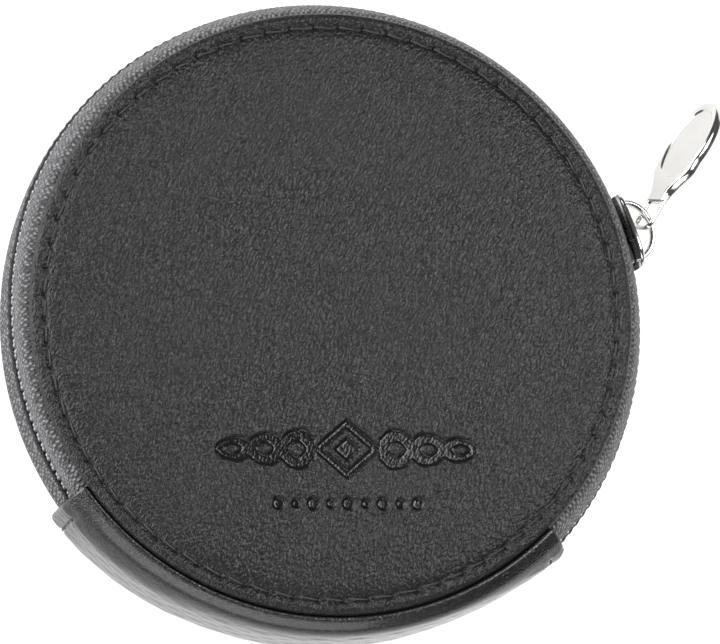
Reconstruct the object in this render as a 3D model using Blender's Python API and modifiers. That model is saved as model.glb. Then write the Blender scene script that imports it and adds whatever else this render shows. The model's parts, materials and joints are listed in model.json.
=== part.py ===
"""Round leather coin purse with a zip round its wall and a leather gusset as its hinge.

The purse lies flat. The origin is the centre of its underside, +Z is up, and the gusset
faces -Y. Lengths are in metres.
"""

import math

import bmesh
import bpy

MM = 0.001

# Driving dimensions.
DISC_RADIUS = 41.0 * MM
PURSE_HEIGHT = 20.0 * MM
WALL_RADIUS = 44.0 * MM
GUSSET_RADIUS = 44.95 * MM
GUSSET_HALF_ANGLE = 49.7
SLIDER_ANGLE = 22.0
PULL_ANGLE = 41.0
PULL_TWIST = 23.0

MID_HEIGHT = PURSE_HEIGHT / 2
LEATHER_THICKNESS = 1.1 * MM
TAPE_THICKNESS = 0.5 * MM
GUSSET_THICKNESS = 0.8 * MM
LAYER_THICKNESS = 0.4 * MM
STEPS_PER_TURN = 60

# Levels above and below mid-height, mirrored for the two halves.
FLANGE_LEVEL = 8.2 * MM
LINING_LEVEL = 7.2 * MM
FLANGE_START_RADIUS = 36.2 * MM
BOARD_RADIUS = 35.7 * MM
LINING_RADIUS = 39.5 * MM

# The seam runs in a groove just inside the edge of each leather disc.
SEAM_RADIUS = DISC_RADIUS - 2.1 * MM
GROOVE_HALF_WIDTH = 0.5 * MM
GROOVE_DEPTH = 0.65 * MM
THREAD_RADIUS = 0.2 * MM

# The zip: two tapes with a slot between them, and a coil behind each tape's edge.
SLOT_HALF_HEIGHT = 0.8 * MM
COIL_OUTER_RADIUS = WALL_RADIUS - 1.05 * MM
COIL_DEPTH = 1.5 * MM
COIL_HEIGHT = 2.0 * MM
TUCK_ANGLE = 3.0
TUCK_TOP_LEVEL = 5.2 * MM

# The slider, in its own frame: X points out of the wall, Y along the zip.
SLIDER_LENGTH = 10.6 * MM
SLIDER_HALF_HEIGHT = 3.9 * MM
PLATE_THICKNESS = 0.8 * MM
OUTER_PLATE_X = WALL_RADIUS + 1.1 * MM
INNER_PLATE_X = COIL_OUTER_RADIUS - COIL_DEPTH - 1.2 * MM
POST_HALF_HEIGHT = 0.45 * MM
BAIL_HALF_HEIGHT = 0.75 * MM
BAIL_BAR = 0.8 * MM
BAIL_HALF_LENGTH = 4.4 * MM
PIVOT_X = OUTER_PLATE_X + 1.8 * MM
BAIL_TOP_X = PIVOT_X + 1.8 * MM

PULL_LENGTH = 20.7 * MM
PULL_THICKNESS = 1.6 * MM
MEDALLION_HALF_WIDTH = 4.7 * MM
MEDALLION_HALF_LENGTH = 6.9 * MM
MEDALLION_RIM = 0.8 * MM
MEDALLION_RECESS = 0.3 * MM
LOOP_CENTRE = 2.1 * MM
LOOP_THINNED_RADIUS = 3.4 * MM
LOOP_THICKNESS = 0.7 * MM


def clear_scene():
    """Remove every object that the scene starts with."""
    for thing in list(bpy.data.objects):
        bpy.data.objects.remove(thing, do_unlink=True)


def make_collection(name):
    """Make a collection of the given name in the scene."""
    group = bpy.data.collections.new(name)
    bpy.context.scene.collection.children.link(group)
    return group


def make_material(name, colour, roughness, metallic=0.0):
    """Make a Principled material."""
    material = bpy.data.materials.new(name)
    material.use_nodes = True
    shader = material.node_tree.nodes["Principled BSDF"]
    shader.inputs["Base Color"].default_value = (*colour, 1.0)
    shader.inputs["Roughness"].default_value = roughness
    shader.inputs["Metallic"].default_value = metallic
    return material


def add_object(name, data, group, material, parent=None):
    """Put data in the scene as a named object of a collection."""
    thing = bpy.data.objects.new(name, data)
    group.objects.link(thing)
    thing.parent = parent
    data.materials.append(material)
    return thing


def add_empty(name, group, location, turn_z, parent=None):
    """Add an empty that carries pieces, turned about Z by turn_z degrees."""
    empty = bpy.data.objects.new(name, None)
    empty.location = location
    empty.rotation_euler = (0.0, 0.0, math.radians(turn_z))
    empty.parent = parent
    group.objects.link(empty)
    return empty


def add_screw(thing, sweep, steps):
    """Turn a profile about Z through sweep degrees."""
    screw = thing.modifiers.new("turn", "SCREW")
    screw.axis = "Z"
    screw.angle = math.radians(sweep)
    screw.steps = steps
    screw.render_steps = steps
    screw.use_merge_vertices = sweep >= 360.0
    screw.merge_threshold = 0.00001
    return screw


def profile_mesh(name, points):
    """Make a chain of edges through (radius, height) points."""
    mesh = bpy.data.meshes.new(name)
    vertices = [(radius, 0.0, height) for radius, height in points]
    edges = [(number, number + 1) for number in range(len(points) - 1)]
    mesh.from_pydata(vertices, edges, [])
    return mesh


def at_side(points, side):
    """Place a half profile above (side 1) or below (side -1) mid-height, running downward."""
    placed = [(radius, MID_HEIGHT + side * level) for radius, level in points]
    return placed if side > 0 else placed[::-1]


def add_disc(name, group, material, points, side):
    """Turn a closed disc from a profile that starts and ends on the axis."""
    disc = add_object(name, profile_mesh(name, at_side(points, side)), group, material)
    add_screw(disc, 360.0, STEPS_PER_TURN)
    return disc


def add_shell(name, group, material, points, thickness, start, sweep):
    """Turn an open profile through part of a turn and give it thickness."""
    shell = add_object(name, profile_mesh(name, points), group, material)
    shell.rotation_euler = (0.0, 0.0, math.radians(start))
    add_screw(shell, sweep, max(2, round(sweep / 360.0 * STEPS_PER_TURN)))
    solidify = shell.modifiers.new("thickness", "SOLIDIFY")
    solidify.thickness = thickness
    solidify.offset = 0.0
    solidify.use_even_offset = True
    return shell


def add_cutter(name, data, cutters, material, parent=None):
    """Add an object that only takes part in a Boolean."""
    cutter = add_object(name, data, cutters, material, parent)
    cutter.hide_render = True
    cutter.display_type = "WIRE"
    return cutter


def add_boolean(thing, operation, cutter):
    """Cut or join thing with cutter."""
    boolean = thing.modifiers.new(operation.lower(), "BOOLEAN")
    boolean.operation = operation
    boolean.object = cutter
    boolean.solver = "EXACT"


def outline_mesh(name, loops, thickness):
    """Make a flat plate from closed outlines in XY, centred on Z; later loops are holes."""
    curve = bpy.data.curves.new(name, "CURVE")
    curve.dimensions = "2D"
    curve.fill_mode = "BOTH"
    curve.extrude = thickness / 2
    for points in loops:
        spline = curve.splines.new("POLY")
        spline.points.add(len(points) - 1)
        for point, (x, y) in zip(spline.points, points):
            point.co = (x, y, 0.0, 1.0)
        spline.use_cyclic_u = True
    holder = bpy.data.objects.new(name, curve)
    bpy.context.scene.collection.objects.link(holder)
    evaluated = holder.evaluated_get(bpy.context.evaluated_depsgraph_get())
    mesh = bpy.data.meshes.new_from_object(evaluated)
    weld_mesh(mesh)
    bpy.data.objects.remove(holder, do_unlink=True)
    bpy.data.curves.remove(curve)
    return mesh


def weld_mesh(mesh):
    """Join vertices that share a place."""
    work = bmesh.new()
    work.from_mesh(mesh)
    bmesh.ops.remove_doubles(work, verts=work.verts, dist=0.000001)
    bmesh.ops.recalc_face_normals(work, faces=work.faces)
    work.to_mesh(mesh)
    work.free()


def make_leather_disc(group, side, name, material):
    """Leather disc with a groove for its seam and a sloping cut edge."""
    outer = PURSE_HEIGHT / 2
    inner = outer - LEATHER_THICKNESS
    floor = outer - GROOVE_DEPTH
    points = [
        (0.0, outer),
        (SEAM_RADIUS - GROOVE_HALF_WIDTH, outer),
        (SEAM_RADIUS - GROOVE_HALF_WIDTH + 0.1 * MM, floor),
        (SEAM_RADIUS + GROOVE_HALF_WIDTH - 0.1 * MM, floor),
        (SEAM_RADIUS + GROOVE_HALF_WIDTH, outer - 0.05 * MM),
        (DISC_RADIUS - 0.6 * MM, outer - 0.15 * MM),
        (DISC_RADIUS, outer - 0.5 * MM),
        (DISC_RADIUS, inner + 0.1 * MM),
        (DISC_RADIUS - 0.2 * MM, inner),
        (0.0, inner),
    ]
    return add_disc(name, group, material, points, side)


def make_flat_disc(group, side, name, material, radius, level):
    """Plain round board or lining at a level from mid-height."""
    upper = level + LAYER_THICKNESS / 2
    lower = level - LAYER_THICKNESS / 2
    points = [(0.0, upper), (radius, upper), (radius, lower), (0.0, lower)]
    return add_disc(name, group, material, points, side)


def make_seam_thread(group, side, name, material):
    """Thread of the edge seam, one round ring lying in its groove."""
    centre = MID_HEIGHT - GROOVE_DEPTH + THREAD_RADIUS + 0.12 * MM
    sides = 6
    points = []
    for number in range(sides + 1):
        angle = 2 * math.pi * number / sides
        level = centre + THREAD_RADIUS * math.cos(angle)
        points.append((SEAM_RADIUS + THREAD_RADIUS * math.sin(angle), level))
    mesh = profile_mesh(name, at_side(points, side))
    weld_mesh(mesh)
    thread = add_object(name, mesh, group, material)
    add_screw(thread, 360.0, STEPS_PER_TURN)
    return thread


def tape_profile(side):
    """Middle line of a zip tape, from its sewn flange to the slot; the lower one sags outward."""
    flange = [(FLANGE_START_RADIUS, FLANGE_LEVEL), (DISC_RADIUS - 0.4 * MM, FLANGE_LEVEL)]
    if side > 0:
        return flange + [
            (WALL_RADIUS - 2.5 * MM, 7.5 * MM),
            (WALL_RADIUS - 1.65 * MM, 6.0 * MM),
            (WALL_RADIUS - 1.0 * MM, 4.2 * MM),
            (WALL_RADIUS - 0.5 * MM, 2.6 * MM),
            (WALL_RADIUS - 0.05 * MM, SLOT_HALF_HEIGHT),
        ]
    return flange + [
        (WALL_RADIUS - 1.8 * MM, 7.6 * MM),
        (WALL_RADIUS - 0.7 * MM, 6.3 * MM),
        (WALL_RADIUS - 0.1 * MM, 4.6 * MM),
        (WALL_RADIUS, 2.6 * MM),
        (WALL_RADIUS, SLOT_HALF_HEIGHT),
    ]


def zip_start_and_sweep(tuck):
    """First angle and sweep of a zip piece that runs tuck degrees under each gusset end."""
    start = -90.0 + GUSSET_HALF_ANGLE - tuck
    return start, 360.0 - 2 * (GUSSET_HALF_ANGLE - tuck)


def make_zip_tape(group, cutters, side, name, material):
    """One zip tape, notched where the gusset's flange takes its place under the disc."""
    start, sweep = zip_start_and_sweep(TUCK_ANGLE)
    profile = at_side(tape_profile(side), side)
    tape = add_shell(name, group, material, profile, TAPE_THICKNESS, start, sweep)
    middle = (TUCK_TOP_LEVEL + MID_HEIGHT) / 2
    depth = MID_HEIGHT - TUCK_TOP_LEVEL
    across = [(FLANGE_START_RADIUS - MM, middle), (GUSSET_RADIUS + MM, middle)]
    notch_sweep = TUCK_ANGLE + 1.5
    for end, first in (("start", start - 1.0), ("finish", start + sweep + 1.0 - notch_sweep)):
        notch = add_shell(
            f"{name}_notch_{end}", cutters, material, at_side(across, side), depth, first, notch_sweep
        )
        notch.hide_render = True
        notch.display_type = "WIRE"
        add_boolean(tape, "DIFFERENCE", notch)
    return tape


def make_zip_coil(group, side, name, material):
    """The coil of teeth behind a tape's edge, as the solid band that it fills."""
    start, sweep = zip_start_and_sweep(TUCK_ANGLE - 0.5)
    radius = COIL_OUTER_RADIUS - COIL_DEPTH / 2
    points = at_side([(radius, SLOT_HALF_HEIGHT + COIL_HEIGHT), (radius, SLOT_HALF_HEIGHT)], side)
    return add_shell(name, group, material, points, COIL_DEPTH, start, sweep)


def mirrored_profile(upper):
    """Complete a profile that runs from the top to mid-height with its mirror image."""
    above = [(radius, MID_HEIGHT + level) for radius, level in upper]
    below = [(radius, MID_HEIGHT - level) for radius, level in upper[-2::-1]]
    return above + below


def make_gusset(group, material):
    """Leather wall that joins the two discs and bends as the hinge."""
    upper = [
        (FLANGE_START_RADIUS, FLANGE_LEVEL),
        (DISC_RADIUS + 0.4 * MM, FLANGE_LEVEL),
        (GUSSET_RADIUS - 1.8 * MM, 7.6 * MM),
        (GUSSET_RADIUS - 0.6 * MM, 6.2 * MM),
        (GUSSET_RADIUS - 0.1 * MM, 4.2 * MM),
        (GUSSET_RADIUS, 2.0 * MM),
        (GUSSET_RADIUS, 0.0),
    ]
    start = -90.0 - GUSSET_HALF_ANGLE
    sweep = 2 * GUSSET_HALF_ANGLE
    profile = mirrored_profile(upper)
    return add_shell("hinge_gusset", group, material, profile, GUSSET_THICKNESS, start, sweep)


def make_gusset_lining(group, material):
    """Lining of the gusset, between the ends of the zip tapes."""
    radius = WALL_RADIUS - 0.2 * MM
    upper = [
        (radius - 1.2 * MM, 6.6 * MM),
        (radius - 0.4 * MM, 5.2 * MM),
        (radius, 3.0 * MM),
        (radius, 0.0),
    ]
    half_angle = GUSSET_HALF_ANGLE - TUCK_ANGLE - 0.6
    start = -90.0 - half_angle
    profile = mirrored_profile(upper)
    return add_shell("gusset_lining", group, material, profile, TAPE_THICKNESS, start, 2 * half_angle)


def make_gusset_end_thread(group, material, name, angle):
    """Thread that sews the gusset's end to the zip tapes, lying on the leather."""
    outside = GUSSET_RADIUS + GUSSET_THICKNESS / 2 + THREAD_RADIUS + 0.1 * MM
    curve = bpy.data.curves.new(name, "CURVE")
    curve.dimensions = "3D"
    curve.bevel_depth = THREAD_RADIUS
    curve.bevel_resolution = 2
    curve.render_resolution_u = 0
    curve.use_fill_caps = True
    levels = [4.6, 2.3, 0.0, -2.3, -4.6]
    spline = curve.splines.new("POLY")
    spline.points.add(len(levels) - 1)
    for point, level in zip(spline.points, levels):
        drop = 0.15 * MM if abs(level) > 3.0 else 0.0
        point.co = (outside - drop, 0.0, MID_HEIGHT + level * MM, 1.0)
    thread = add_object(name, curve, group, material)
    thread.rotation_euler = (0.0, 0.0, math.radians(angle))
    return thread


def shield_outline(half_length, half_height):
    """Outline of a slider plate: wide shoulders at -X and a narrower tail at +X."""
    shoulder = -0.55 * half_length
    tail = 0.62
    upper = [
        (-half_length, 0.45 * half_height),
        (-0.92 * half_length, 0.72 * half_height),
        (shoulder, half_height),
        (0.1 * half_length, 0.94 * half_height),
        (0.75 * half_length, (tail + 0.08) * half_height),
        (half_length, 0.6 * tail * half_height),
    ]
    lower = [(x, -y) for x, y in reversed(upper)]
    return upper + lower


def place_plate(thing, x):
    """Stand a plate's XY outline up in the wall at distance x from the axis."""
    thing.location = (x, 0.0, MID_HEIGHT)
    thing.rotation_euler = (math.pi / 2, 0.0, math.pi / 2)


def bail_outline():
    """Arch over the outer plate, in the plane of X (outward) and Y (along the zip)."""
    foot = OUTER_PLATE_X + 0.2 * MM
    rise = BAIL_TOP_X - foot
    steps = 14
    outside = []
    inside = []
    for number in range(steps + 1):
        angle = math.pi * number / steps
        lift = math.sin(angle)
        reach = math.cos(angle)
        outside.append((foot + rise * lift, BAIL_HALF_LENGTH * reach))
        inside.append((foot + (rise - BAIL_BAR) * lift, (BAIL_HALF_LENGTH - BAIL_BAR) * reach))
    return outside + inside[::-1]


def make_slider(group, cutters, material, carrier):
    """Slider: outer plate, inner plate, the post between them and the bail over the outer one."""
    outline = shield_outline(SLIDER_LENGTH / 2, SLIDER_HALF_HEIGHT)
    plate = outline_mesh("slider_body", [outline], PLATE_THICKNESS)
    body = add_object("slider_body", plate, group, material, carrier)
    place_plate(body, OUTER_PLATE_X)

    plate = outline_mesh("slider_inner_plate", [outline], PLATE_THICKNESS)
    inner = add_cutter("slider_inner_plate", plate, cutters, material, carrier)
    place_plate(inner, INNER_PLATE_X)

    half = POST_HALF_HEIGHT
    post_outline = [(-4.4 * MM, -half), (-1.2 * MM, -half), (-1.2 * MM, half), (-4.4 * MM, half)]
    block = outline_mesh("slider_post", [post_outline], OUTER_PLATE_X - INNER_PLATE_X)
    post = add_cutter("slider_post", block, cutters, material, carrier)
    place_plate(post, (OUTER_PLATE_X + INNER_PLATE_X) / 2)

    arch = outline_mesh("slider_bail", [bail_outline()], 2 * BAIL_HALF_HEIGHT)
    bail = add_cutter("slider_bail", arch, cutters, material, carrier)
    bail.location = (0.0, 0.0, MID_HEIGHT)

    for joined in (post, inner, bail):
        add_boolean(body, "UNION", joined)
    return body


def pull_outline():
    """Outline of the pull tab, from its loop at X = 0 to the tip of its medallion."""
    centre = PULL_LENGTH - MEDALLION_HALF_LENGTH
    upper = [(-0.35 * MM, 1.5 * MM), (0.3 * MM, 2.2 * MM), (4.6 * MM, 2.1 * MM), (6.0 * MM, 2.1 * MM)]
    steps = 10
    for number in range(steps):
        angle = math.radians(145.0 - 145.0 * number / steps)
        x = centre + MEDALLION_HALF_LENGTH * math.cos(angle)
        upper.append((x, MEDALLION_HALF_WIDTH * math.sin(angle)))
    lower = [(x, -y) for x, y in reversed(upper)]
    return upper + [(PULL_LENGTH, 0.0)] + lower


def pull_window():
    """Window of the loop, which the bail passes through."""
    near, far, half, corner = 0.4 * MM, 4.6 * MM, 1.4 * MM, 0.4 * MM
    upper = [(near, half - corner), (near + corner, half), (far - corner, half), (far, half - corner)]
    return upper + [(x, -y) for x, y in reversed(upper)]


def ellipse(centre, half_length, half_width):
    """Points of an ellipse whose long axis is X."""
    points = []
    sides = 24
    for number in range(sides):
        angle = 2 * math.pi * number / sides
        points.append((centre + half_length * math.cos(angle), half_width * math.sin(angle)))
    return points


def make_pull_tab(group, cutters, material, carrier):
    """Pull tab with a loop round the bail and a medallion sunk inside its rim on both faces."""
    loops = [pull_outline(), pull_window()]
    tab = add_object("pull_tab", outline_mesh("pull_tab", loops, PULL_THICKNESS), group, material, carrier)
    twist = math.radians(90.0 + PULL_TWIST)
    tab.rotation_euler = (twist, 0.0, 0.0)

    centre = PULL_LENGTH - MEDALLION_HALF_LENGTH
    field = ellipse(centre, MEDALLION_HALF_LENGTH - MEDALLION_RIM, MEDALLION_HALF_WIDTH - MEDALLION_RIM)
    loop = ellipse(LOOP_CENTRE, LOOP_THINNED_RADIUS, LOOP_THINNED_RADIUS)
    loop_depth = (PULL_THICKNESS - LOOP_THICKNESS) / 2
    for label, outline, depth in (("medallion", field, MEDALLION_RECESS), ("loop", loop, loop_depth)):
        for face, side in (("front", 1), ("back", -1)):
            name = f"{label}_recess_{face}"
            recess = add_cutter(name, outline_mesh(name, [outline], 2 * depth), cutters, material, carrier)
            recess.rotation_euler = (twist, 0.0, 0.0)
            offset = side * PULL_THICKNESS / 2
            recess.location = (0.0, -offset * math.sin(twist), offset * math.cos(twist))
            add_boolean(tab, "DIFFERENCE", recess)
    return tab


def main():
    """Build the purse."""
    clear_scene()
    group = make_collection("coin_purse")
    cutters = make_collection("coin_purse_cutters")

    leather = make_material("black_leather", (0.035, 0.035, 0.037), 0.45)
    lining = make_material("lining_fabric", (0.03, 0.03, 0.032), 0.9)
    board = make_material("stiffening_board", (0.33, 0.30, 0.26), 0.9)
    tape = make_material("zip_tape", (0.05, 0.05, 0.055), 0.8)
    coil = make_material("zip_coil", (0.04, 0.04, 0.045), 0.4)
    thread = make_material("thread", (0.02, 0.02, 0.022), 0.7)
    nickel = make_material("nickel", (0.72, 0.71, 0.68), 0.15, 1.0)

    for half, side in (("top", 1), ("bottom", -1)):
        make_leather_disc(group, side, f"{half}_leather", leather)
        make_flat_disc(group, side, f"{half}_board", board, BOARD_RADIUS, FLANGE_LEVEL)
        make_flat_disc(group, side, f"{half}_lining", lining, LINING_RADIUS, LINING_LEVEL)
        make_seam_thread(group, side, f"{half}_seam_thread", thread)

    for half, side in (("upper", 1), ("lower", -1)):
        make_zip_tape(group, cutters, side, f"zip_tape_{half}", tape)
        make_zip_coil(group, side, f"zip_coil_{half}", coil)

    make_gusset(group, leather)
    make_gusset_lining(group, lining)
    for name, turn in (("left", -1), ("right", 1)):
        angle = -90.0 + turn * (GUSSET_HALF_ANGLE - TUCK_ANGLE)
        make_gusset_end_thread(group, thread, f"gusset_end_thread_{name}", angle)

    slider_axis = add_empty("slider_axis", group, (0.0, 0.0, 0.0), SLIDER_ANGLE)
    make_slider(group, cutters, nickel, slider_axis)
    pull_axis = add_empty("pull_axis", group, (PIVOT_X, 0.0, MID_HEIGHT), PULL_ANGLE, slider_axis)
    make_pull_tab(group, cutters, nickel, pull_axis)


main()
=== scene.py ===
"""Looks of a round leather coin purse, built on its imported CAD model.

Shapes are worked out in millimetres and turned into metres when a mesh is made. The frame is
the CAD model's: the centre of the underside is the origin, +Z is up, the gusset faces -Y.
"""
import json
import math

import bmesh
import bpy
import numpy as np
from mathutils import Matrix, Vector


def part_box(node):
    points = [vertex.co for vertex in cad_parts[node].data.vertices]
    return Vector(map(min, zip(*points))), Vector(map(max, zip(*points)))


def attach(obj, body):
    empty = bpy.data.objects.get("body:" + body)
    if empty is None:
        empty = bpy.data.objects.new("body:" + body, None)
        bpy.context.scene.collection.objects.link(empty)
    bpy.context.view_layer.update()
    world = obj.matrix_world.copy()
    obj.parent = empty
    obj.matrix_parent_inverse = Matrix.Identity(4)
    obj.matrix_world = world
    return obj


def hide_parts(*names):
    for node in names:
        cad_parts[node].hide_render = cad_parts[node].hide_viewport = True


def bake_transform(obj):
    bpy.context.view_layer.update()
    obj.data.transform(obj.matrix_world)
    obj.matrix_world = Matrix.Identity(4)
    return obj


MM = 0.001

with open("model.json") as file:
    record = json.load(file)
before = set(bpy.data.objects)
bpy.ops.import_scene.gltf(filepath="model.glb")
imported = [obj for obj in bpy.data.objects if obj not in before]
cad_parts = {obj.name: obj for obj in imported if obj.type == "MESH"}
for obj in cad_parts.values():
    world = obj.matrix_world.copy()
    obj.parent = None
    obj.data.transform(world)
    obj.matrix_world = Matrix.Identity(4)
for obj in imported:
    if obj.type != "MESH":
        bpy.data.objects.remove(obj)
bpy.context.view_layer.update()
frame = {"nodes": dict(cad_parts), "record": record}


def box_mm(node):
    """Lowest and highest corner of a CAD node, in millimetres."""
    low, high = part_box(node)
    return np.array(low) / MM, np.array(high) / MM


def joint_place_mm(name):
    """A joint's place, in millimetres."""
    for joint in frame["record"]["behaviour"]["joints"]:
        if joint["name"] == name:
            return np.array(joint["pos_m"]) / MM
    raise ValueError(name)


# Sizes that come from the CAD model.
DISC_R = (box_mm("top_leather")[1][0] - box_mm("top_leather")[0][0]) / 2
TOP = box_mm("top_leather")[1][2]
MID = TOP / 2
LEATHER = TOP - box_mm("top_leather")[0][2]
WALL_R = -box_mm("zip_tape_lower")[0][0] - 0.25
GUSSET_R = -box_mm("hinge_gusset")[0][1]
SEAM_R = (box_mm("top_seam_thread")[1][0] - box_mm("top_seam_thread")[0][0]) / 2 - 0.2
PIVOT = joint_place_mm("pull_swing")
SLIDER_ANGLE = math.degrees(math.atan2(PIVOT[1], PIVOT[0]))
PIVOT_X = math.hypot(PIVOT[0], PIVOT[1])
OUTER_PLATE_X = PIVOT_X - 1.8
INNER_PLATE_X = WALL_R - 3.75

# Sizes that the CAD model's script states too.
GUSSET_HALF = 49.7
TUCK = 2.2
PULL_ANGLE = 41.0
PULL_TWIST = 23.0
PULL_LENGTH = 20.7
MEDALLION_LONG = 6.9
MEDALLION_WIDE = 4.7
SLOT_HALF = 0.8
COIL_PITCH = 1.5

# The zip's run round the wall, in degrees, with both ends tucked under the gusset.
ZIP_START = -90.0 + GUSSET_HALF - TUCK
ZIP_SWEEP = 360.0 - 2 * (GUSSET_HALF - TUCK)

# How the object lies in view.
VIEW_TURN = 3.9
CAMERA_TILT = 13.8
CAMERA_LEAN = 225.0
CAMERA_DISTANCE = 600.0
VIEW_WIDTH = 96.4
AIM_RIGHT = 3.35
AIM_DOWN = 1.6

# Stitches in each disc's seam, and the ornament pressed in the top one.
STITCHES = 73
ORNAMENT_X = 3.0
ORNAMENT_Y = -18.6
ORNAMENT_TURN = VIEW_TURN + 1.0
ORNAMENT_DEPTH = 0.5


def smooth_curve(points, count):
    """Sample a smooth curve through points."""
    points = np.asarray(points, float)
    padded = np.vstack([2 * points[0] - points[1], points, 2 * points[-1] - points[-2]])
    place = np.linspace(0, len(points) - 1, count)
    index = np.minimum(place.astype(int), len(points) - 2)
    t = (place - index)[:, None]
    a, b, c, d = padded[index], padded[index + 1], padded[index + 2], padded[index + 3]
    curve = 2 * b + (c - a) * t + (2 * a - 5 * b + 4 * c - d) * t**2 + (3 * b - a - 3 * c + d) * t**3
    return curve / 2


def evenly(points, count):
    """Resample a polyline to points at equal distances."""
    steps = np.linalg.norm(np.diff(points, axis=0), axis=1)
    length = np.concatenate([[0.0], np.cumsum(steps)])
    wanted = np.linspace(0.0, length[-1], count)
    return np.stack([np.interp(wanted, length, points[:, k]) for k in range(points.shape[1])], 1)


def smoothstep(value, low, high):
    """Rise smoothly from 0 at low to 1 at high."""
    t = np.clip((value - low) / (high - low), 0.0, 1.0)
    return t * t * (3 - 2 * t)


def outward_normals(curve):
    """Unit normals of a (radius, height) curve that runs downward on its outer side."""
    tangent = np.gradient(curve, axis=0)
    tangent /= np.maximum(np.linalg.norm(tangent, axis=1, keepdims=True), 1e-9)
    return np.stack([-tangent[:, 1], tangent[:, 0]], 1)


def ring_mesh(name, rings, along=None, caps=True, values=None):
    """Mesh through closed rings of points, an array (rings, points, 3) in millimetres."""
    count, points = rings.shape[:2]
    i = np.arange(count - 1)[:, None]
    j = np.arange(points)[None, :]
    next_i = i + 1
    next_j = (j + 1) % points
    corners = [i * points + j, next_i * points + j, next_i * points + next_j, i * points + next_j]
    faces = np.stack(np.broadcast_arrays(*corners), -1).reshape(-1, 4).tolist()
    if caps:
        faces.append(list(range(points)))
        faces.append([(count - 1) * points + k for k in range(points)])
    mesh = bpy.data.meshes.new(name)
    mesh.from_pydata((rings.reshape(-1, 3) * MM).tolist(), [], faces)
    if along is not None:
        layer = mesh.attributes.new("along", "FLOAT_VECTOR", "POINT")
        layer.data.foreach_set("vector", along.reshape(-1, 3).astype(np.float32).ravel())
    for label, numbers in (values or {}).items():
        layer = mesh.attributes.new(label, "FLOAT", "POINT")
        layer.data.foreach_set("value", numbers.astype(np.float32).ravel())
    return mesh


def finish_mesh(mesh, merge=0.0):
    """Join doubled points, turn faces outward and shade smooth."""
    work = bmesh.new()
    work.from_mesh(mesh)
    if merge:
        bmesh.ops.remove_doubles(work, verts=work.verts, dist=merge)
    bmesh.ops.recalc_face_normals(work, faces=work.faces)
    work.to_mesh(mesh)
    work.free()
    mesh.shade_smooth()
    return mesh


def joined(name, meshes):
    """Put several meshes into one."""
    work = bmesh.new()
    for mesh in meshes:
        work.from_mesh(mesh)
    mesh = bpy.data.meshes.new(name)
    work.to_mesh(mesh)
    work.free()
    return mesh


def add_piece(name, mesh, material):
    """Put a mesh in the scene."""
    piece = bpy.data.objects.new(name, mesh)
    bpy.context.scene.collection.objects.link(piece)
    mesh.materials.clear()
    mesh.materials.append(material)
    return piece


def tube_rings(path, radius, sides=8, up=(0.0, 0.0, 1.0), squash=1.0):
    """Rings of a tube along a path; squash flattens it along the up direction."""
    path = np.asarray(path, float)
    tangent = np.gradient(path, axis=0)
    tangent /= np.linalg.norm(tangent, axis=1, keepdims=True)
    side = np.cross(tangent, np.broadcast_to(np.asarray(up, float), path.shape))
    side /= np.linalg.norm(side, axis=1, keepdims=True)
    lift = np.cross(side, tangent)
    angle = 2 * np.pi * np.arange(sides) / sides
    ring = np.cos(angle)[None, :, None] * side[:, None, :]
    ring = ring + squash * np.sin(angle)[None, :, None] * lift[:, None, :]
    return path[:, None, :] + radius * ring


def at_angle(radius, angle, height):
    """Points at a radius, an angle in degrees and a height."""
    turn = np.radians(angle)
    return np.stack(np.broadcast_arrays(radius * np.cos(turn), radius * np.sin(turn), height), -1)


# ---------------------------------------------------------------- materials


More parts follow.
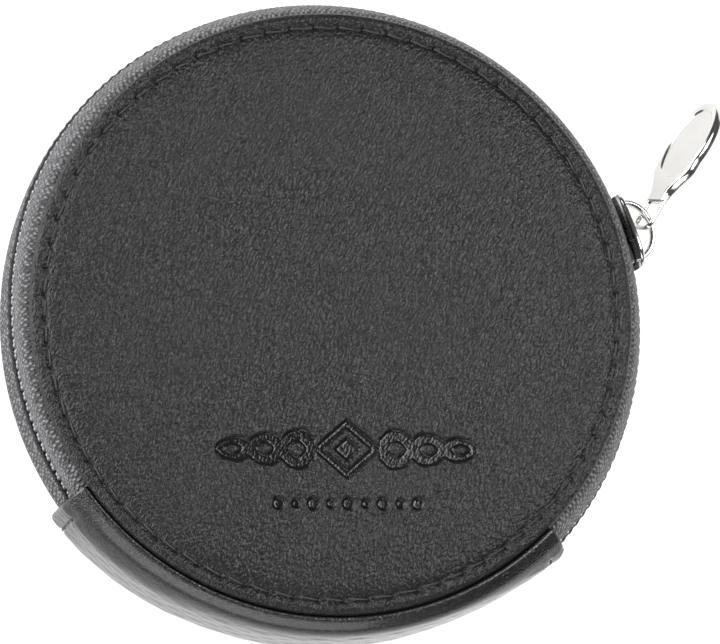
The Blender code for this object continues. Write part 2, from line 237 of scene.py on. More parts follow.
class Shade:
    """A material and short ways to add nodes to it."""

    def __init__(self, name, colour, roughness, metallic=0.0):
        self.material = bpy.data.materials.new(name)
        self.material.use_nodes = True
        self.tree = self.material.node_tree
        self.shader = self.tree.nodes["Principled BSDF"]
        self.shader.inputs["Base Color"].default_value = (*colour, 1.0)
        self.shader.inputs["Roughness"].default_value = roughness
        self.shader.inputs["Metallic"].default_value = metallic

    def node(self, kind, **settings):
        made = self.tree.nodes.new(kind)
        for key, value in settings.items():
            setattr(made, key, value)
        return made

    def feed(self, target, source):
        if hasattr(source, "is_output"):
            self.tree.links.new(source, target)
        else:
            target.default_value = source

    def math(self, operation, a, b=0.0, clamp=False):
        made = self.node("ShaderNodeMath", operation=operation, use_clamp=clamp)
        self.feed(made.inputs[0], a)
        self.feed(made.inputs[1], b)
        return made.outputs[0]

    def place(self, scale=(1.0, 1.0, 1.0), turn=0.0):
        coordinates = self.node("ShaderNodeTexCoord")
        mapping = self.node("ShaderNodeMapping", vector_type="TEXTURE")
        mapping.inputs["Scale"].default_value = scale
        mapping.inputs["Rotation"].default_value = (0.0, 0.0, math.radians(turn))
        self.tree.links.new(coordinates.outputs["Object"], mapping.inputs["Vector"])
        return mapping.outputs["Vector"]

    def noise(self, vector, scale, detail=3.0, roughness=0.55):
        made = self.node("ShaderNodeTexNoise")
        self.tree.links.new(vector, made.inputs["Vector"])
        made.inputs["Scale"].default_value = scale
        made.inputs["Detail"].default_value = detail
        made.inputs["Roughness"].default_value = roughness
        return made.outputs[0]

    def cells(self, vector, scale):
        made = self.node("ShaderNodeTexVoronoi", feature="DISTANCE_TO_EDGE")
        self.tree.links.new(vector, made.inputs["Vector"])
        made.inputs["Scale"].default_value = scale
        return made.outputs["Distance"]

    def stretch(self, value, low, high, to_low, to_high):
        made = self.node("ShaderNodeMapRange")
        self.feed(made.inputs["Value"], value)
        numbers = (("From Min", low), ("From Max", high), ("To Min", to_low), ("To Max", to_high))
        for key, number in numbers:
            made.inputs[key].default_value = number
        return made.outputs["Result"]

    def mix(self, factor, dark, light):
        made = self.node("ShaderNodeMix", data_type="RGBA")
        self.feed(made.inputs[0], factor)
        made.inputs[6].default_value = (*dark, 1.0)
        made.inputs[7].default_value = (*light, 1.0)
        return made.outputs[2]

    def attribute(self, name, output="Fac"):
        made = self.node("ShaderNodeAttribute", attribute_name=name)
        return made.outputs[output]

    def bump(self, height, distance, strength):
        made = self.node("ShaderNodeBump")
        made.inputs["Strength"].default_value = strength
        made.inputs["Distance"].default_value = distance
        self.feed(made.inputs["Height"], height)
        self.tree.links.new(made.outputs["Normal"], self.shader.inputs["Normal"])

    def colour(self, source):
        self.tree.links.new(source, self.shader.inputs["Base Color"])

    def roughness(self, source):
        self.tree.links.new(source, self.shader.inputs["Roughness"])


def leather_material(name, turn, lean, shine, pressed=False):
    """Black cowhide: short grain that leans one way, soft tone changes, glossier where it is pressed."""
    shade = Shade(name, (0.008, 0.008, 0.009), 0.4)
    grain = shade.place((1.0, lean, 1.0), turn)
    plain = shade.place()
    dashes = shade.stretch(shade.noise(grain, 3300.0, 2.0, 0.45), 0.3, 0.7, 0.0, 1.0)
    pores = shade.stretch(shade.cells(grain, 1700.0), 0.0, 0.25, 0.0, 1.0)
    cloud = shade.noise(plain, 55.0, 3.0)
    height = shade.math("ADD", shade.math("MULTIPLY", dashes, 0.6), shade.math("MULTIPLY", pores, 0.25))
    if pressed:
        flat = shade.math("MULTIPLY", shade.attribute("pressed"), -0.8)
        height = shade.math("MULTIPLY", height, shade.math("ADD", flat, 1.0))
    shade.bump(height, 0.00017 if pressed else 0.00009, 0.9)
    shade.colour(shade.mix(cloud, (0.0035, 0.0035, 0.0042), (0.0095, 0.0095, 0.01)))
    rough = shade.stretch(cloud, 0.3, 0.7, 0.31, 0.38)
    shade.shader.inputs["Specular IOR Level"].default_value = 0.3 if pressed else 0.4
    if pressed:
        rough = shade.math("SUBTRACT", rough, shade.math("MULTIPLY", shade.attribute("pressed"), 0.2))
    shade.roughness(shade.math("SUBTRACT", rough, 0.25 * shine))
    shade.shader.inputs["Coat Weight"].default_value = shine
    shade.shader.inputs["Coat Roughness"].default_value = 0.15
    return shade.material


def tape_material():
    """Woven polyester tape: rows of nubs laid out along the tape; its colour paints the nub tops light
    grey as if lit and the gaps between them near black as painted shade.
    """
    shade = Shade("woven_tape", (0.05, 0.05, 0.055), 0.6)
    plain = shade.place()
    layout = shade.node("ShaderNodeMapping")
    layout.inputs["Rotation"].default_value = (0.0, 0.0, math.radians(45.0))
    layout.inputs["Scale"].default_value = (1.8, 1.0, 1.0)
    shade.tree.links.new(shade.attribute("along", "Vector"), layout.inputs["Vector"])
    nubs = shade.node("ShaderNodeTexVoronoi", feature="F1", voronoi_dimensions="2D")
    nubs.inputs["Scale"].default_value = 1.0
    nubs.inputs["Randomness"].default_value = 0.42
    shade.tree.links.new(layout.outputs["Vector"], nubs.inputs["Vector"])
    nub = shade.stretch(nubs.outputs["Distance"], 0.16, 0.54, 1.0, 0.0)
    fibres = shade.noise(plain, 5200.0, 4.0, 0.7)
    speckle = shade.noise(plain, 1300.0, 2.0)
    # Painted light and shade: nub tops get a lit light grey, the gaps between nubs a near-black painted
    # shade; the speckle varies the tone at random.
    light = shade.math("MULTIPLY", nub, shade.stretch(speckle, 0.36, 0.64, 0.12, 1.2))
    shade.colour(shade.mix(light, (0.003, 0.003, 0.0035), (0.19, 0.19, 0.205)))
    shade.bump(shade.math("ADD", nub, shade.math("MULTIPLY", fibres, 0.3)), 0.0003, 1.0)
    shade.shader.inputs["Sheen Weight"].default_value = 0.1
    shade.shader.inputs["Sheen Roughness"].default_value = 0.4
    shade.roughness(shade.stretch(fibres, 0.2, 0.8, 0.4, 0.7))
    return shade.material


def lining_material():
    """Plain woven lining."""
    shade = Shade("lining_cloth", (0.03, 0.03, 0.032), 0.85)
    plain = shade.place()
    wave_x = shade.node("ShaderNodeTexWave", bands_direction="X")
    wave_y = shade.node("ShaderNodeTexWave", bands_direction="Y")
    for wave in (wave_x, wave_y):
        shade.tree.links.new(plain, wave.inputs["Vector"])
        wave.inputs["Scale"].default_value = 900.0
        wave.inputs["Distortion"].default_value = 0.6
    weave = shade.math("MULTIPLY", wave_x.outputs["Fac"], wave_y.outputs["Fac"])
    shade.colour(shade.mix(weave, (0.012, 0.012, 0.013), (0.05, 0.05, 0.053)))
    shade.bump(shade.math("ADD", weave, shade.noise(plain, 4000.0)), 0.00006, 0.6)
    shade.shader.inputs["Sheen Weight"].default_value = 0.3
    return shade.material


def board_material():
    """Grey-brown fibre board."""
    shade = Shade("fibre_board", (0.3, 0.27, 0.23), 0.9)
    plain = shade.place()
    fibres = shade.noise(plain, 900.0, 6.0, 0.7)
    shade.colour(shade.mix(fibres, (0.2, 0.18, 0.15), (0.4, 0.36, 0.31)))
    shade.bump(fibres, 0.00005, 0.5)
    return shade.material


def thread_material():
    """Twisted black sewing thread, its plies drawn by a wave along the stitch."""
    shade = Shade("sewing_thread", (0.012, 0.012, 0.013), 0.5)
    along = shade.attribute("along", "Vector")
    wave = shade.node("ShaderNodeTexWave", bands_direction="DIAGONAL")
    shade.tree.links.new(along, wave.inputs["Vector"])
    wave.inputs["Scale"].default_value = 1.6
    shade.colour(shade.mix(wave.outputs["Fac"], (0.005, 0.005, 0.006), (0.03, 0.03, 0.033)))
    shade.bump(wave.outputs["Fac"], 0.00006, 0.7)
    return shade.material


def coil_material():
    """Satin nylon of the zip's coils."""
    shade = Shade("nylon_coil", (0.2, 0.2, 0.21), 0.25)
    plain = shade.place()
    cloud = shade.noise(plain, 700.0, 3.0)
    shade.colour(shade.mix(cloud, (0.14, 0.14, 0.15), (0.34, 0.34, 0.36)))
    shade.roughness(shade.stretch(cloud, 0.3, 0.7, 0.18, 0.34))
    shade.bump(shade.noise(plain, 3000.0), 0.00002, 0.4)
    shade.shader.inputs["Coat Weight"].default_value = 0.5
    return shade.material


def nickel_material():
    """Polished nickel plating with fine rub marks."""
    shade = Shade("nickel_plate", (0.74, 0.73, 0.7), 0.1, 1.0)
    plain = shade.place()
    brushed = shade.place((1.0, 12.0, 1.0), 25.0)
    marks = shade.noise(brushed, 2600.0, 4.0, 0.6)
    cloud = shade.noise(plain, 260.0, 2.0)
    shade.colour(shade.mix(cloud, (0.6, 0.59, 0.57), (0.7, 0.69, 0.67)))
    rough = shade.math("MULTIPLY", marks, 0.14)
    shade.roughness(shade.math("ADD", rough, shade.stretch(cloud, 0.3, 0.7, 0.05, 0.12)))
    shade.bump(marks, 0.00001, 0.35)
    return shade.material


# ---------------------------------------------------------------- leather discs


def ornament_depth(x, y):
    """Depth from 0 to 1 of a pressed book ornament: a lozenge, two braided tails, a row of dots."""
    turn = math.radians(ORNAMENT_TURN)
    u = (x - ORNAMENT_X) * math.cos(turn) + (y - ORNAMENT_Y) * math.sin(turn)
    v = (y - ORNAMENT_Y) * math.cos(turn) - (x - ORNAMENT_X) * math.sin(turn)
    soft = 0.22
    edge = np.abs(u) / 4.6 + np.abs(v) / 4.0
    lozenge = 1 - smoothstep(np.abs(edge - 0.86) * 3.0, 0.34, 0.34 + soft * 1.4)
    heart = 1 - smoothstep(edge * 3.0, 1.05, 1.05 + soft * 1.4)
    depth = np.maximum(lozenge, heart)
    reach = np.abs(u)
    t = np.clip((reach - 4.6) / 13.0, 0.0, 1.0)
    width = 0.62 * (1 - t) ** 0.6 + 0.16
    inside = (reach > 4.3) & (reach < 17.8)
    for sign in (1, -1):
        line = sign * 2.0 * (1 - 0.55 * t) * np.sin(2 * np.pi * 1.5 * t)
        slope = sign * 2.0 * 1.5 * 2 * np.pi / 13.0 * np.cos(2 * np.pi * 1.5 * t)
        distance = np.abs(v - line) / np.sqrt(1 + slope**2)
        tail = (1 - smoothstep(distance, width, width + soft)) * inside
        depth = np.maximum(depth, tail)
    for number in range(-4, 5):
        distance = np.hypot(u - 2.35 * number, v + 7.3)
        size = 0.72 if number % 2 == 0 else 0.5
        depth = np.maximum(depth, 1 - smoothstep(distance, size, size + soft))
    return depth


def disc_base_height(radius):
    """Height of the leather above the disc's top level: a low crown, the seam's valley, a rolled edge."""
    places = [0.0, 20.0, 31.0, 35.0, 37.2, 38.3, SEAM_R, 39.5, 40.0, 40.4, 40.75, DISC_R - 0.05]
    levels = [0.22, 0.19, 0.1, 0.0, -0.12, -0.32, -0.4, -0.33, -0.24, -0.32, -0.52, -0.86]
    curve = smooth_curve(np.stack([places, levels], 1), 240)
    return np.interp(radius, curve[:, 0], curve[:, 1])


def seam_relief(radius, angle):
    """Pits and puckers of the seam, from the distance to the seam line and the place in a stitch."""
    pitch_mm = 2 * math.pi * SEAM_R / STITCHES
    place = (angle / 360.0 * STITCHES) % 1.0 - 0.5
    off = radius - SEAM_R
    groove = np.exp(-((off / 0.4) ** 2))
    relief = -groove * (0.1 + 0.08 * np.cos(2 * np.pi * place))
    for end, depth, size in ((-0.41, 0.3, 0.24), (0.41, 0.6, 0.34)):
        along = (place - end) * pitch_mm
        across = off - 0.35 * end
        relief = relief - depth * np.exp(-((along / size) ** 2) - (across / size) ** 2)
    pad = np.exp(-((place * pitch_mm / 0.9) ** 2)) * np.exp(-(((off - 0.75) / 0.5) ** 2))
    return relief + 0.07 * pad


def leather_swell(x, y):
    """Slow, shallow unevenness of the hide."""
    waves = np.sin(x / 6.3 + 0.7) * np.cos(y / 7.9 - 0.4) + 0.6 * np.sin((x + 1.4 * y) / 4.7)
    return 0.018 * waves


def disc_radii(pressed):
    """Ring radii: close together where there is relief."""
    middle = np.arange(8.2, 33.2, 0.22) if pressed else np.arange(9.0, 33.2, 1.1)
    seam = np.arange(36.9, DISC_R - 0.5, 0.14)
    edge = np.array([0.42, 0.32, 0.24, 0.17, 0.11, 0.05])
    centre = np.linspace(0.0, 8.0, 9)
    border = np.linspace(33.6, 36.6, 9)
    return np.concatenate([centre, middle, border, seam, DISC_R - edge])


def make_leather_disc(side, name, node, body, material):
    """A leather disc with its seam's relief; the top one also has the pressed ornament."""
    pressed = side > 0
    radii = disc_radii(pressed)
    angles = np.arange(STITCHES * 10) * 360.0 / (STITCHES * 10)
    radius, angle = np.meshgrid(radii, angles, indexing="ij")
    x = radius * np.cos(np.radians(angle))
    y = radius * np.sin(np.radians(angle))
    height = disc_base_height(radius) * (1.0 if pressed else 0.9) + seam_relief(radius, angle)
    inner = 1 - smoothstep(radius, 33.0, 37.0)
    height = height + leather_swell(x, y) * inner
    depth = ornament_depth(x, y) * inner if pressed else np.zeros_like(radius)
    height = height - ORNAMENT_DEPTH * depth
    if not pressed:
        height = np.minimum(height, 0.0)
    outer = np.stack([x, y, height], -1)

    under_radii = np.array([DISC_R, DISC_R - 0.02, DISC_R - 0.12, DISC_R - 0.4, 37.0, 20.0, 0.0])
    under_levels = np.full(len(under_radii), -LEATHER)
    under_levels[:3] = (-0.93, -LEATHER + 0.1, -LEATHER + 0.02)
    under_radius, under_angle = np.meshgrid(under_radii, angles, indexing="ij")
    level = np.broadcast_to(under_levels[:, None], under_radius.shape)
    under = at_angle(under_radius, under_angle, level)

    rings = np.concatenate([outer, under])
    rings[..., 2] = MID + side * (MID + rings[..., 2])
    values = np.concatenate([depth, np.zeros_like(under_radius)])
    mesh = ring_mesh(name, rings, caps=False, values={"pressed": values})
    piece = add_piece(name, finish_mesh(mesh, 1e-7), material)
    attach(piece, body)
    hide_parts(node)
    return piece


def make_seam_stitches(side, name, node, body, material):
    """Separate stitches of thread that dive into their holes at both ends."""
    meshes = []
    place = np.linspace(-0.42, 0.42, 15)
    pitch = 360.0 / STITCHES
    drop = -0.5 - 0.4 * np.abs(place / 0.42) ** 3
    for number in range(STITCHES):
        angle = (number + 0.5 + place) * pitch
        path = at_angle(SEAM_R + 0.35 * place, angle, MID + side * (MID + drop))
        along = np.zeros((len(place), 8, 3))
        along[..., 0] = (place * 3.35)[:, None] + number
        along[..., 1] = np.arange(8)[None, :] / 8.0
        rings = tube_rings(path, 0.16, squash=0.85)
        meshes.append(ring_mesh(f"{name}_{number}", rings, along))
    mesh = finish_mesh(joined(name, meshes))
    piece = add_piece(name, mesh, material)
    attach(piece, body)
    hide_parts(node)
    for made in meshes:
        bpy.data.meshes.remove(made)
    return piece


# ---------------------------------------------------------------- zip


def zip_dent(angle, level):
    """How far the zip is pushed in beside the gusset's left end, fading out above and below."""
    places = [-60.0, 90.0, 112.0, 132.0, 154.0, 170.0, 184.0, 200.0, 212.0, 224.0]
    depths = [0.0, 0.0, 0.0, 0.12, 0.45, 1.1, 1.55, 1.8, 1.8, 1.6]
    depth = np.interp(angle, places, depths)
    return depth * (1 - smoothstep(np.abs(level), 0.6, 8.3))


def tape_outline(side):
    """Middle line of a tape, flange to slot, as (radius, level above or below mid-height)."""
    flange = [(37.0, 8.2), (39.5, 8.2), (40.6, 8.15)]
    if side > 0:
        wall = [(-2.45, 7.5), (-1.75, 6.2), (-1.15, 4.6), (-0.65, 2.8), (-0.35, SLOT_HALF + 0.3)]
    else:
        wall = [(-1.8, 7.6), (-0.7, 6.3), (0.0, 4.8), (0.15, 2.8), (0.1, SLOT_HALF + 0.3)]
    return np.array(flange + [(WALL_R + out, level) for out, level in wall])


def make_tape(side, name, node, body, material):
    """A zip tape with a corded edge at the slot, pinched at each turn of the coil."""
    curve = evenly(smooth_curve(tape_outline(side), 200), 58)
    normals = outward_normals(curve)
    across = np.concatenate([[0.0], np.cumsum(np.linalg.norm(np.diff(curve, axis=0), axis=1))])
    angles = ZIP_START + ZIP_SWEEP * np.linspace(0.0, 1.0, 1250)
    arc = np.radians(angles - ZIP_START) * WALL_R
    from_edge = across[-1] - across
    turns = 2 * np.pi * arc / COIL_PITCH
    cord = np.exp(-(((from_edge - 0.4) / 0.4) ** 2)) + 0.6 * np.exp(-(((from_edge - 1.5) / 0.4) ** 2))
    pinch = 0.5 + 0.5 * np.cos(turns[:, None] + 2.2 * from_edge[None, :])
    lift = 0.2 + 0.17 * pinch * cord[None, :]
    outer_r = curve[None, :, 0] + lift * normals[None, :, 0] - zip_dent(angles[:, None], curve[None, :, 1])
    outer_h = curve[None, :, 1] + lift * normals[None, :, 1]
    back = curve[::-5]
    back_n = normals[::-5]
    inner_r = back[None, :, 0] - 0.22 * back_n[None, :, 0] - zip_dent(angles[:, None], back[None, :, 1])
    inner_h = np.broadcast_to(back[None, :, 1] - 0.22 * back_n[None, :, 1], inner_r.shape)
    radius = np.concatenate([outer_r, inner_r], 1)
    level = np.concatenate([outer_h, inner_h], 1)
    rings = at_angle(radius, angles[:, None], MID + side * level)
    along = np.zeros(rings.shape)
    along[..., 0] = arc[:, None]
    along[..., 1] = np.concatenate([across, across[::-5] + 20.0])[None, :]
    mesh = ring_mesh(name, rings, along)
    piece = add_piece(name, finish_mesh(mesh), material)
    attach(piece, body)
    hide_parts(node)
    return piece


def make_coil(side, name, node, body, material):
    """A zip coil: a flattened spiral whose heads reach through the slot between the tapes."""
    radius_mid = WALL_R - 0.8
    turns = int(math.radians(ZIP_SWEEP) * radius_mid / COIL_PITCH)
    points = turns * 14
    phase = 2 * np.pi * np.arange(points) / 14.0
    shift = 0.0 if side > 0 else 0.5
    advance = phase / (2 * np.pi) + shift
    angle = ZIP_START + 0.6 + np.degrees(advance * COIL_PITCH / radius_mid)
    reach = 0.45 if side > 0 else 0.2
    top = 2.7
    middle = (top - reach) / 2
    half = (top + reach) / 2
    level = middle - side * half * np.sin(phase)
    radius = radius_mid + 0.34 * np.cos(phase)
    radius = radius + 0.2 * (1 + np.cos(phase)) * np.exp(-((level / 0.8) ** 2))
    radius = radius - zip_dent(angle, level)
    path = at_angle(radius, angle, MID + side * level)
    outward = at_angle(np.ones(points), angle, np.zeros(points))
    tangent = np.gradient(path, axis=0)
    tangent /= np.linalg.norm(tangent, axis=1, keepdims=True)
    along = np.stack([-outward[:, 1], outward[:, 0], np.zeros(points)], 1)
    lift = np.cross(tangent, along)
    lift /= np.linalg.norm(lift, axis=1, keepdims=True)
    side_way = np.cross(lift, tangent)
    turn = 2 * np.pi * np.arange(7) / 7
    wire = 0.27
    ring = np.cos(turn)[None, :, None] * side_way[:, None, :]
    ring = ring + np.sin(turn)[None, :, None] * lift[:, None, :]
    rings = path[:, None, :] + wire * ring
    piece = add_piece(name, finish_mesh(ring_mesh(name, rings)), material)
    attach(piece, body)
    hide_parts(node)
    return piece


# ---------------------------------------------------------------- gusset


def gusset_outline():
    """Outer line of the gusset from the top flange to the bottom one, as (radius, level)."""
    r = GUSSET_R - 0.85
    return np.array([
        (40.2, 8.45), (41.0, 8.5), (41.22, 9.25), (41.8, 9.2), (r - 1.25, 8.2), (r - 0.5, 6.9),
        (r - 0.12, 5.5), (r, 4.2), (r + 0.05, 2.5),
        (r + 0.1, 0.5), (r + 0.15, -1.5), (r + 0.15, -3.4), (r - 0.05, -5.0), (r - 0.7, -6.5),
        (42.5, -7.9), (41.6, -8.6), (41.0, -8.5), (40.2, -8.45),
    ])


def gusset_swell(angle):
    """How far the gusset stands out, by angle from its middle: proud at its sewn ends."""
    places = [-52.0, -49.7, -45.0, -40.0, -26.0, -16.0, 4.0, 24.0, 38.0, 46.0, 49.7, 52.0]
    values = [0.75, 0.72, 0.66, 0.55, 0.1, -0.3, -0.5, -0.6, -0.1, 0.5, 0.7, 0.72]
    curve = smooth_curve(np.stack([places, values], 1), 200)
    return np.interp(angle, curve[:, 0], curve[:, 1])


def gusset_wrinkles(angle, level):
    """Fine wrinkles and the crease beside each sewn end."""
    from_end = np.radians(GUSSET_HALF - np.abs(angle)) * GUSSET_R
    crease = -0.28 * np.exp(-(((from_end - 2.4) / 0.45) ** 2)) - 0.3 * np.exp(-((from_end / 0.35) ** 2))
    near_end = np.exp(-((from_end / 6.0) ** 2))
    lines = np.sin(level * 2.1 + 0.12 * angle) * np.sin(angle * 0.9 + 0.5 * level)
    ripple = np.sin(level * 4.6 + np.sin(angle * 0.7) * 1.7)
    return crease + near_end * 0.06 * ripple + 0.035 * lines


def bend_with_lid(piece):
    """Bake a piece's transform into its mesh."""
    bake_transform(piece)


def make_gusset(material):
    """The leather gusset, one sheet along the hinge side."""
    curve = evenly(smooth_curve(gusset_outline(), 400), 90)
    normals = outward_normals(curve)
    angles = np.linspace(-GUSSET_HALF, GUSSET_HALF, 330)
    wall = 1 - smoothstep(np.abs(curve[:, 1]), 5.5, 8.6)
    push = gusset_swell(angles)[:, None] * wall[None, :]
    push = push + gusset_wrinkles(angles[:, None], curve[None, :, 1]) * wall[None, :]
    outer_r = curve[None, :, 0] + push
    outer_h = np.broadcast_to(curve[None, :, 1], outer_r.shape)
    skip = 4
    back = curve[::-skip]
    back_n = normals[::-skip]
    thick = 0.75
    inner_r = back[None, :, 0] - thick * back_n[None, :, 0] + push[:, ::-skip]
    inner_h = np.broadcast_to(back[None, :, 1] - thick * back_n[None, :, 1], inner_r.shape)
    radius = np.concatenate([outer_r, inner_r], 1)
    level = np.concatenate([outer_h, inner_h], 1)
    rings = at_angle(radius, angles[:, None] - 90.0, MID + level)
    mesh = ring_mesh("gusset_leather", rings)
    piece = add_piece("gusset_leather", finish_mesh(mesh), material)
    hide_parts("hinge_gusset")
    bend_with_lid(piece)
    return piece


def make_gusset_lining(material):
    """The gusset's lining, between the ends of the tapes."""
    r = WALL_R - 0.3
    upper = [(r - 1.3, 6.6), (r - 0.5, 5.2), (r - 0.1, 3.0)]
    points = upper + [(r, 0.0)] + [(radius, -level) for radius, level in upper[::-1]]
    curve = evenly(smooth_curve(points, 200), 40)
    normals = outward_normals(curve)
    half = GUSSET_HALF - TUCK - 1.2
    angles = np.linspace(-half, half, 120)
    push = np.minimum(gusset_swell(angles), 0.1)[:, None] * np.ones(len(curve))[None, :]
    push = push + 0.04 * np.sin(angles * 0.8)[:, None] * np.cos(curve[:, 1] * 1.3)[None, :]
    outer = np.stack([curve[None, :, 0] + push, np.broadcast_to(curve[None, :, 1], push.shape)], -1)
    inner = outer - 0.4 * normals[None, :, :]
    section = np.concatenate([outer, inner[:, ::-1]], 1)
    rings = at_angle(section[..., 0], angles[:, None] - 90.0, MID + section[..., 1])
    mesh = ring_mesh("gusset_inner_cloth", rings)
    piece = add_piece("gusset_inner_cloth", finish_mesh(mesh), material)
    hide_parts("gusset_lining")
    bend_with_lid(piece)
    return piece


def make_end_stitches(turn, name, node, material):
    """A short row of stitches beside one end of the gusset."""
    meshes = []
    curve = evenly(smooth_curve(gusset_outline(), 400), 400)
    angle = turn * (GUSSET_HALF - math.degrees(2.4 / GUSSET_R))
    for middle in (-4.9, -2.45, 0.0, 2.45, 4.9):
        level = middle + np.linspace(-0.95, 0.95, 9)
        radius = np.interp(level, curve[::-1, 1], curve[::-1, 0]) + gusset_swell(angle) - 0.2
        dive = 0.35 * np.abs(np.linspace(-1.0, 1.0, 9)) ** 3
        path = at_angle(radius + 0.06 - dive, angle - 90.0 + 0.1 * np.linspace(-1.0, 1.0, 9), MID + level)
        along = np.zeros((9, 8, 3))
        along[..., 0] = level[:, None]
        along[..., 1] = np.arange(8)[None, :] / 8.0
        meshes.append(ring_mesh(name, tube_rings(path, 0.13, up=at_angle(1.0, angle - 90.0, 0.0)), along))
    mesh = finish_mesh(joined(name, meshes))
    piece = add_piece(name, mesh, material)
    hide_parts(node)
    bend_with_lid(piece)
    for made in meshes:
        bpy.data.meshes.remove(made)
    return piece


# ---------------------------------------------------------------- slider and pull tab


def slider_matrix():
    """Slider frame: X out of the wall, Y along the zip, Z up, origin on the purse's axis at mid-height."""
    return Matrix.Translation((0.0, 0.0, MID * MM)) @ Matrix.Rotation(math.radians(SLIDER_ANGLE), 4, "Z")


def plate_half_width(y, half_length):
    """Half width of the slider's plates along the zip: wide shoulders, narrower tail."""
    places = np.array([-1.0, -0.93, -0.55, 0.1, 0.72, 0.95, 1.0]) * half_length
    widths = [1.9, 2.9, 3.9, 3.65, 2.75, 1.9, 1.3]
    curve = smooth_curve(np.stack([places, widths], 1), 120)
    return np.interp(y, curve[:, 0], curve[:, 1])


def plate_mesh(name, x_outer, thickness, dome, length):
    """A rounded plate whose face is domed by dome and whose back follows it."""
    half = length / 2
    y = half * np.sin(np.linspace(-np.pi / 2, np.pi / 2, 45))
    across = np.sin(np.linspace(-np.pi / 2, np.pi / 2, 25))
    end = np.sqrt(np.clip(1 - (np.abs(y) / half) ** 8, 0.0, 1.0))
    width = plate_half_width(y, half) * (0.9 + 0.1 * end)
    z = width[:, None] * across[None, :]
    roll = np.abs(across[None, :]) ** 5
    fall = across[None, :] ** 2
    rounded = roll + 1 - end[:, None]
    face = x_outer - dome * fall - 0.16 * rounded
    back = x_outer - thickness - 0.9 * dome * fall + 0.1 * rounded
    front_points = np.stack([face, np.broadcast_to(y[:, None], z.shape), z], -1)
    back_points = np.stack([back, np.broadcast_to(y[:, None], z.shape), z], -1)[:, ::-1]
    return ring_mesh(name, np.concatenate([front_points, back_points], 1))


def bail_mesh():
    """The arch over the outer plate, a flat bar with round edges."""
    foot = OUTER_PLATE_X + 0.1
    rise = PIVOT_X + 1.4 - foot
    turn = np.linspace(-np.pi / 2, np.pi / 2, 60)
    path = evenly(np.stack([foot + rise * np.cos(turn), 4.0 * np.sin(turn)], 1), 52)
    tangent = np.gradient(path, axis=0)
    tangent /= np.linalg.norm(tangent, axis=1, keepdims=True)
    normal = np.stack([tangent[:, 1], -tangent[:, 0]], 1)
    turn = 2 * np.pi * np.arange(20) / 20
    flat_u = np.sign(np.cos(turn)) * np.abs(np.cos(turn)) ** 0.55 * 0.74
    flat_v = np.sign(np.sin(turn)) * np.abs(np.sin(turn)) ** 0.8 * 0.4
    x = path[:, None, 0] + normal[:, None, 0] * flat_v[None, :]
    y = path[:, None, 1] + normal[:, None, 1] * flat_v[None, :]
    z = np.broadcast_to(flat_u[None, :], x.shape)
    return ring_mesh("bail", np.stack([x, y, z], -1))


def post_mesh():
    """The post that joins the two plates through the slot."""
    x = np.linspace(INNER_PLATE_X - 0.1, OUTER_PLATE_X + 0.1, 6)
    turn = 2 * np.pi * np.arange(16) / 16
    y = -2.8 + 1.6 * np.cos(turn)
    z = 0.45 * np.sin(turn)
    shape = (len(x), len(turn))
    rings = np.stack([np.broadcast_to(a, shape) for a in (x[:, None], y[None, :], z[None, :])], -1)
    return ring_mesh("post", rings)


def make_slider(material):
    """Slider body: two plates, the post and the bail."""
    outer = plate_mesh("outer_plate", OUTER_PLATE_X + 0.5, 0.85, 0.35, 10.6)
    inner = plate_mesh("inner_plate", INNER_PLATE_X + 0.4, 0.8, 0.0, 10.6)
    mesh = joined("zip_slider", [finish_mesh(part) for part in (outer, inner, bail_mesh(), post_mesh())])
    mesh.transform(slider_matrix())
    mesh.shade_smooth()
    piece = add_piece("zip_slider", mesh, material)
    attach(piece, "slider")
    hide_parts("slider_body")
    return piece


def pull_half_width(s):
    """Half width of the pull tab: a narrow neck that spreads into the oval medallion."""
    centre = PULL_LENGTH - MEDALLION_LONG
    oval = MEDALLION_WIDE * np.sqrt(np.clip(1 - ((s - centre) / MEDALLION_LONG) ** 2, 0.0, 1.0))
    neck = 2.0 + 2.4 * smoothstep(s, 5.4, 10.0)
    return np.where(s < centre - 2.5, np.maximum(oval * smoothstep(s, 6.0, 9.0), neck), oval)


def tab_body_mesh():
    """Neck and medallion: a plate with round edges, a raised rim and a sunk field with a lozenge."""
    first = 4.3
    s = first + (PULL_LENGTH - first) * np.sin(np.linspace(0.0, np.pi / 2, 110))
    across = np.sin(np.linspace(-np.pi / 2, np.pi / 2, 71))
    width = np.maximum(pull_half_width(s), 0.03)
    w = width[:, None] * across[None, :]
    centre = PULL_LENGTH - MEDALLION_LONG
    inside = np.sqrt(((s[:, None] - centre) / MEDALLION_LONG) ** 2 + (w / MEDALLION_WIDE) ** 2)
    tip = np.sqrt(np.clip(1 - ((s - centre) / MEDALLION_LONG) ** 2, 0.0, 1.0))
    half = 0.8 - 0.3 * (1 - smoothstep(s, 4.2, 7.0))
    half = np.where(s > centre, half * (0.35 + 0.65 * np.clip(tip * 3.0, 0.0, 1.0)), half)
    edge = np.sqrt(np.clip(1 - np.abs(across) ** 14, 0.0, 1.0))
    field = 0.3 * (1 - smoothstep(inside, 0.78, 0.86))
    dome = 0.14 * np.clip(1 - (inside / 0.78) ** 2, 0.0, 1.0)
    mark = np.abs(s[:, None] - centre) / 3.2 + np.abs(w) / 2.1
    lozenge = 0.16 * (1 - smoothstep(np.abs(mark - 0.8), 0.1, 0.24))
    lozenge = lozenge + 0.16 * (1 - smoothstep(mark, 0.16, 0.32))
    body = half[:, None] * (0.2 + 0.8 * edge[None, :]) - field + dome
    face = body + lozenge
    back = -body
    along = np.broadcast_to(s[:, None], w.shape)
    front_points = np.stack([along, w, face], -1)
    back_points = np.stack([along, w, back], -1)[:, ::-1]
    return ring_mesh("tab_body", np.concatenate([front_points, back_points], 1))


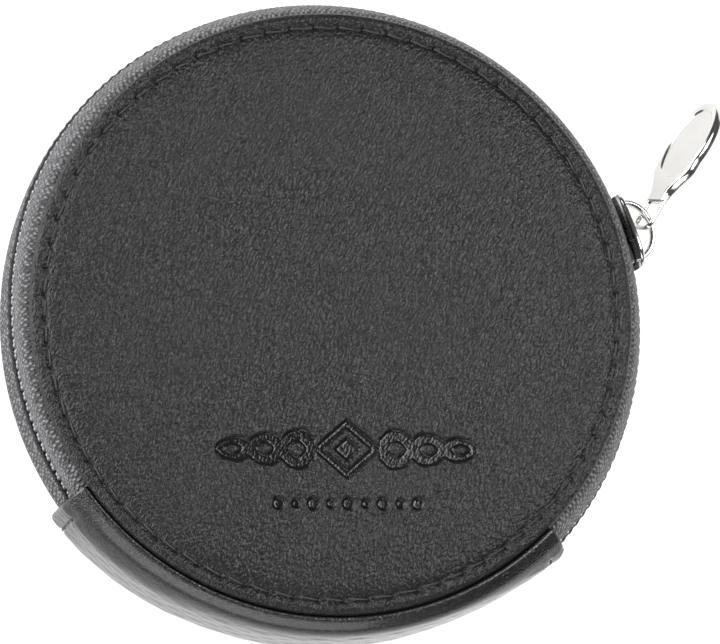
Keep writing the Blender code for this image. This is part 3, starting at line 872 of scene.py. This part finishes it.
def tab_loop_mesh():
    """The loop that goes round the bail."""
    path = [(5.6, 1.72), (4.2, 1.75), (2.2, 1.78), (0.75, 1.7), (0.1, 1.15), (0.0, 0.0)]
    path = np.array(path + [(x, -y) for x, y in path[-2::-1]])
    path = evenly(smooth_curve(path, 200), 56)
    points = np.concatenate([path, np.zeros((len(path), 1))], 1)
    return ring_mesh("tab_loop", tube_rings(points, 0.36, sides=14))


def make_pull(material):
    """Pull tab, turned and twisted as it hangs on the bail."""
    mesh = joined("pull_tab_metal", [finish_mesh(part) for part in (tab_body_mesh(), tab_loop_mesh())])
    place = slider_matrix() @ Matrix.Translation((PIVOT_X * MM, 0.0, 0.0))
    place = place @ Matrix.Rotation(math.radians(PULL_ANGLE), 4, "Z")
    place = place @ Matrix.Rotation(math.radians(90.0 + PULL_TWIST), 4, "X")
    mesh.transform(place)
    mesh.shade_smooth()
    piece = add_piece("pull_tab_metal", mesh, material)
    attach(piece, "pull")
    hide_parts("pull_tab")
    return piece


# ---------------------------------------------------------------- stage


def image_direction(angle):
    """Direction in the table's plane that points at an angle in the picture."""
    turn = math.radians(angle + VIEW_TURN)
    return Vector((math.cos(turn), math.sin(turn), 0.0))


def make_camera():
    """Camera almost straight above, leaning to one side as the view asks."""
    tilt = math.radians(CAMERA_TILT)
    away = image_direction(CAMERA_LEAN) * math.sin(tilt) + Vector((0.0, 0.0, math.cos(tilt)))
    up = image_direction(90.0)
    up = (up - away * up.dot(away)).normalized()
    right = up.cross(away)
    aim = Vector((0.0, 0.0, TOP)) + right * AIM_RIGHT - up * AIM_DOWN
    camera_data = bpy.data.cameras.new("camera")
    camera_data.sensor_width = 36.0
    camera_data.lens = 36.0 * CAMERA_DISTANCE / VIEW_WIDTH
    camera_data.clip_start = 0.01
    camera = bpy.data.objects.new("camera", camera_data)
    bpy.context.scene.collection.objects.link(camera)
    turn = Matrix((right, up, away)).transposed().to_4x4()
    camera.matrix_world = Matrix.Translation((aim + away * CAMERA_DISTANCE) * MM) @ turn
    bpy.context.scene.camera = camera


def add_area(name, angle, elevation, distance, width, height, power):
    """Soft rectangular light that faces the purse, placed by its angle in the picture."""
    data = bpy.data.lights.new(name, "AREA")
    data.shape = "RECTANGLE"
    data.size = width
    data.size_y = height
    data.energy = power
    light = bpy.data.objects.new(name, data)
    bpy.context.scene.collection.objects.link(light)
    raised = math.radians(elevation)
    way = image_direction(angle) * math.cos(raised) + Vector((0.0, 0.0, math.sin(raised)))
    light.location = way * distance
    light.rotation_euler = (-way).to_track_quat("-Z", "Y").to_euler()


def make_stage():
    """Pale glowing table, soft lights and a pale surround."""
    mesh = bpy.data.meshes.new("table")
    half = 3.0
    level = -0.0002
    corners = [(-half, -half, level), (half, -half, level), (half, half, level), (-half, half, level)]
    mesh.from_pydata(corners, [], [(0, 1, 2, 3)])
    table = bpy.data.objects.new("table", mesh)
    bpy.context.scene.collection.objects.link(table)
    shade = Shade("table_white", (0.3, 0.3, 0.3), 0.8)
    shade.shader.inputs["Emission Color"].default_value = (1.0, 1.0, 1.0, 1.0)
    shade.shader.inputs["Emission Strength"].default_value = 0.85
    mesh.materials.append(shade.material)

    world = bpy.data.worlds.new("surround")
    world.use_nodes = True
    background = world.node_tree.nodes["Background"]
    background.inputs["Color"].default_value = (0.93, 0.96, 1.0, 1.0)
    background.inputs["Strength"].default_value = 0.1
    bpy.context.scene.world = world
    add_area("key", 10.0, 58.0, 0.9, 0.5, 0.5, 8.5)
    add_area("left_panel", 165.0, 24.0, 0.7, 1.0, 0.45, 12.0)
    add_area("low_front", 255.0, 30.0, 0.8, 0.9, 0.3, 3.5)
    bpy.context.scene.view_settings.view_transform = "Standard"


def main():
    """Make everything."""
    make_camera()
    make_stage()
    top_leather = leather_material("top_hide", -26.0, 1.9, 0.0, pressed=True)
    wall_leather = leather_material("wall_hide", 0.0, 1.0, 0.4)
    tape = tape_material()
    lining = lining_material()
    board = board_material()
    thread = thread_material()
    coil = coil_material()
    nickel = nickel_material()

    make_leather_disc(1, "top_disc_leather", "top_leather", "lid", top_leather)
    make_leather_disc(-1, "bottom_disc_leather", "bottom_leather", "base", wall_leather)
    make_seam_stitches(1, "top_disc_stitches", "top_seam_thread", "lid", thread)
    make_seam_stitches(-1, "bottom_disc_stitches", "bottom_seam_thread", "base", thread)
    make_tape(1, "upper_tape_cloth", "zip_tape_upper", "lid", tape)
    make_tape(-1, "lower_tape_cloth", "zip_tape_lower", "base", tape)
    make_coil(1, "upper_coil_wire", "zip_coil_upper", "lid", coil)
    make_coil(-1, "lower_coil_wire", "zip_coil_lower", "base", coil)
    make_gusset(wall_leather)
    make_gusset_lining(lining)
    make_end_stitches(-1, "left_end_stitches", "gusset_end_thread_left", thread)
    make_end_stitches(1, "right_end_stitches", "gusset_end_thread_right", thread)
    make_slider(nickel)
    make_pull(nickel)
    for node, material in (("lining", lining), ("board", board)):
        for half in ("top", "bottom"):
            data = frame["nodes"][f"{half}_{node}"].data
            data.materials.clear()
            data.materials.append(material)


main()
